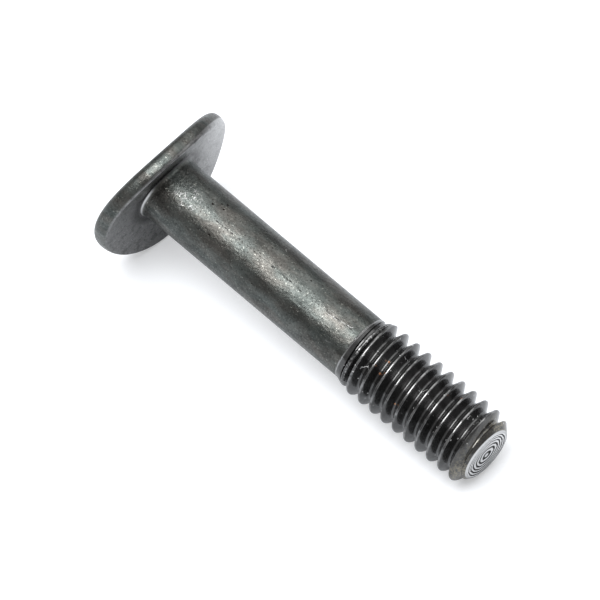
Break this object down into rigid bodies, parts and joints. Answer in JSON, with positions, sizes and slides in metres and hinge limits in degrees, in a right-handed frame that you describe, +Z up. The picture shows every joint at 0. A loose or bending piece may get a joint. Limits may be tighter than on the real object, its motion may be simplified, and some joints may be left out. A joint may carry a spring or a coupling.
{
  "type": "screw",
  "caption": "Partly threaded screw with a wide, thin, curved head, a plain shank, a hexagon socket and a chamfered tip, lying on its side.",
  "frame": {"origin": "on the ground that the screw lies on, under the middle of its box", "axes": "+X along the length from head to tip, +Z up; the axis of the screw dips 6.7 degrees towards the tip"},
  "size_m": [0.0422, 0.0164, 0.0164],
  "materials": {
    "blackened_steel": "dark oxide, satin, lightly worn"
  },
  "bodies": {
    "root": {"screw": "blackened_steel"}
  },
  "joints": []
}
